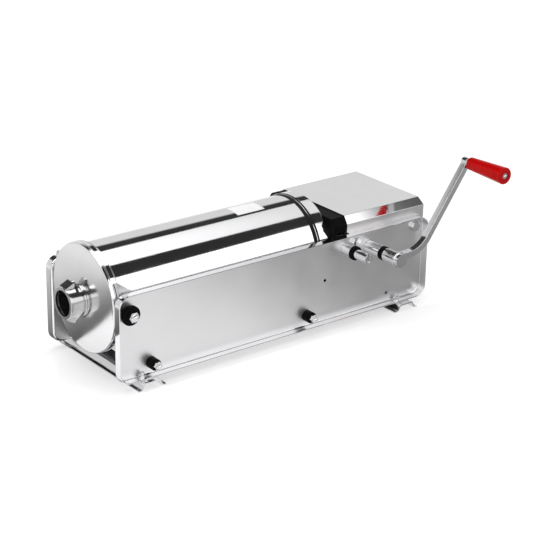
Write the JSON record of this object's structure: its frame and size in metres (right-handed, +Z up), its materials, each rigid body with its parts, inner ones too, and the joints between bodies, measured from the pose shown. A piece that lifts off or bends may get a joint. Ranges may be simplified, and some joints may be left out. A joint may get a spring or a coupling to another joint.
{
  "type": "sausage stuffer",
  "caption": "Horizontal hand-cranked sausage stuffer: steel cylinder between two side panels, ring-nut outlet, rack-driven plunger, two-speed gear case and a crank with a red grip.",
  "frame": {"origin": "on the resting plane under the feet, midway between the ends and between the faces of the two side panels", "axes": "+X along the cylinder towards the drive end, -Y towards the crank side, +Z up"},
  "size_m": [0.592, 0.316, 0.236],
  "materials": {
    "polished_steel": "mirror-polished stainless sheet with fine rolling grain",
    "foot_steel": "bright folded stainless",
    "machined_steel": "machined steel",
    "plated_steel": "bright plated",
    "nickel_brass": "nickel-plated casting",
    "spring_steel": "oiled spring steel",
    "black_plastic": "satin black moulded plastic",
    "food_plastic": "white food-grade plastic",
    "seal_rubber": "black rubber",
    "red_plastic": "glossy red moulded plastic"
  },
  "bodies": {
    "frame": {"side_panel_front": "polished_steel", "side_panel_rear": "polished_steel", "cylinder_tube": "polished_steel", "cylinder_lid": "polished_steel", "seat_ring": "polished_steel", "drive_cover": "polished_steel", "foot_outlet_end": "foot_steel", "foot_drive_end": "foot_steel", "cylinder_brackets": "machined_steel", "gear_plate_front": "machined_steel", "gear_plate_rear": "machined_steel", "guide_bridge": "machined_steel", "tie_rods": "machined_steel", "pivot_bolts": "machined_steel", "foot_bolts": "plated_steel", "tie_rod_nuts": "plated_steel", "pivot_nuts": "plated_steel", "gear_plate_bolts": "plated_steel", "main_bushes": "plated_steel", "second_bushes": "plated_steel", "guide_screws": "plated_steel", "outlet_neck": "nickel_brass", "tie_rod_collars": "black_plastic", "pivot_washers": "black_plastic", "bulkhead": "black_plastic", "rack_guide": "food_plastic", "lid_gasket": "seal_rubber", "seat_gasket": "seal_rubber"},
    "ring_nut": {"ring_nut": "nickel_brass"},
    "plunger": {"rack": "machined_steel", "plunger_disc": "food_plastic", "plunger_seal": "seal_rubber", "plunger_backplate": "machined_steel", "plunger_screws": "plated_steel"},
    "vent_valve": {"vent_valve": "plated_steel"},
    "main_shaft": {"main_shaft": "plated_steel", "shaft_collar": "black_plastic", "rack_pinion": "machined_steel", "large_gear": "machined_steel", "main_circlip": "spring_steel"},
    "second_shaft": {"second_shaft": "plated_steel", "second_collar": "black_plastic", "small_gear": "machined_steel", "second_circlip": "spring_steel"},
    "crank": {"crank_hub": "plated_steel", "crank_pin": "plated_steel", "crank_arm": "plated_steel", "grip_bolt": "plated_steel"},
    "grip": {"grip": "red_plastic"}
  },
  "joints": [
    {"name": "plunger_slide", "type": "slide", "parent": "frame", "child": "plunger", "axis": [1, 0, 0], "range_m": [-0.086, 0.238]},
    {"name": "main_shaft_turn", "type": "hinge", "parent": "frame", "child": "main_shaft", "pos_m": [0.1623, 0, 0.1056], "axis": [0, 1, 0], "range_deg": [-976, 353]},
    {"name": "second_shaft_turn", "type": "hinge", "parent": "frame", "child": "second_shaft", "pos_m": [0.11785, 0, 0.11264], "axis": [0, 1, 0], "range_deg": [-1158, 3202]},
    {"name": "vent_valve_slide", "type": "slide", "parent": "plunger", "child": "vent_valve", "axis": [-1, 0, 0], "range_m": [0, 0.004]},
    {"name": "crank_pull", "type": "slide", "parent": "main_shaft", "child": "crank", "axis": [0, -1, 0], "range_m": [0, 0.02]},
    {"name": "grip_spin", "type": "hinge", "parent": "crank", "child": "grip", "pos_m": [0.286, 0, 0.224], "axis": [0, 1, 0], "continuous": true},
    {"name": "ring_nut_turn", "type": "hinge", "parent": "frame", "child": "ring_nut", "pos_m": [-0.28, 0, 0.1045], "axis": [-1, 0, 0], "range_deg": [0, 360]}
  ],
  "couplings": [
    {"joint": "main_shaft_turn", "follows": "plunger_slide", "rad_per_m": -71.429},
    {"joint": "second_shaft_turn", "follows": "plunger_slide", "rad_per_m": 234.69}
  ]
}
